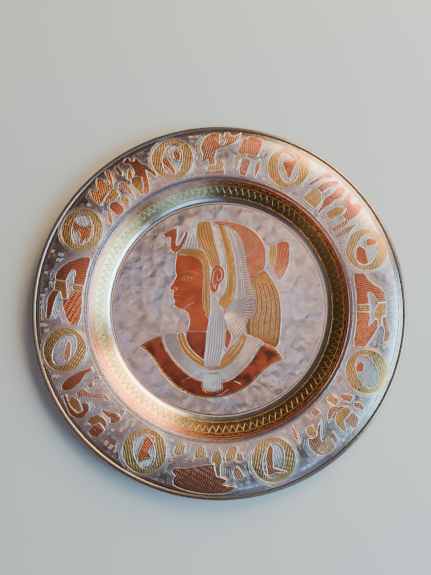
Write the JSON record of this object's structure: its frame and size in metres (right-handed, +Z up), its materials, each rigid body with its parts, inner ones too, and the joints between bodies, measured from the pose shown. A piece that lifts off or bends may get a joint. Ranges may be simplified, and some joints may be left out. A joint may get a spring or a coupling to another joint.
{
  "type": "engraved metal wall plate",
  "caption": "Round dished metal plate with a rolled edge, engraved copper, brass and silver picture inlay, and a hanging ring behind the rim.",
  "frame": {"origin": "middle of the underside of the flat well, on the surface that the plate lies on", "axes": "+Z up out of the face, +Y towards the top of the picture (where the hanging ring is), +X to the picture's right"},
  "size_m": [0.2, 0.2, 0.0099],
  "materials": {
    "silvered_dish": "silvered brass, engraved and rotary polished, slightly tarnished",
    "copper_sheet": "polished copper sheet, engraved",
    "brass_sheet": "polished brass sheet, engraved",
    "silver_sheet": "silvered sheet, engraved",
    "brass_wire": "plain drawn brass"
  },
  "bodies": {
    "plate": {"back_hair": "brass_sheet", "bun": "copper_sheet", "collar_brass_left": "brass_sheet", "collar_brass_right": "brass_sheet", "collar_silver": "silver_sheet", "copper_band": "copper_sheet", "dish": "silvered_dish", "ear": "copper_sheet", "face_and_neck": "copper_sheet", "fan_brass": "brass_sheet", "fan_copper": "copper_sheet", "front_cap": "silver_sheet", "front_locks": "brass_sheet", "hanging_ribbon": "brass_sheet", "hanging_strap": "brass_wire", "headband": "brass_sheet", "lappet": "silver_sheet", "lappet_tab": "silver_sheet", "lower_neck": "copper_sheet", "medallion_1_figure": "copper_sheet", "medallion_1_ring": "brass_sheet", "medallion_2_figure": "copper_sheet", "medallion_2_ring": "brass_sheet", "medallion_3_figure": "copper_sheet", "medallion_3_ring": "brass_sheet", "medallion_4_figure": "copper_sheet", "medallion_4_ring": "brass_sheet", "medallion_5_figure": "copper_sheet", "medallion_5_ring": "brass_sheet", "medallion_6_figure": "copper_sheet", "medallion_6_ring": "brass_sheet", "medallion_7_figure": "copper_sheet", "medallion_7_ring": "brass_sheet", "medallion_8_figure": "copper_sheet", "medallion_8_ring": "brass_sheet", "neck_strand": "copper_sheet", "panel_bottom_brass": "brass_sheet", "panel_bottom_copper": "copper_sheet", "panel_left_brass": "brass_sheet", "panel_left_copper": "copper_sheet", "panel_lower_left_brass": "brass_sheet", "panel_lower_left_copper": "copper_sheet", "panel_lower_right_brass": "brass_sheet", "panel_lower_right_copper": "copper_sheet", "panel_right_brass": "brass_sheet", "panel_right_copper": "copper_sheet", "panel_top_brass": "brass_sheet", "panel_top_copper": "copper_sheet", "panel_upper_left_brass": "brass_sheet", "panel_upper_left_copper": "copper_sheet", "panel_upper_right_brass": "brass_sheet", "panel_upper_right_copper": "copper_sheet", "pleat_fan": "silver_sheet", "rim_wire": "brass_wire", "shoulders": "copper_sheet", "uraeus": "copper_sheet", "vulture_wing": "silver_sheet", "zigzag_band": "brass_sheet"},
    "ring": {"hanging_ring": "brass_wire"}
  },
  "joints": [
    {"name": "ring_swing", "type": "hinge", "parent": "plate", "child": "ring", "pos_m": [0, 0.08197, 0.00688], "axis": [1, 0, 0], "range_deg": [-135, 17]}
  ]
}
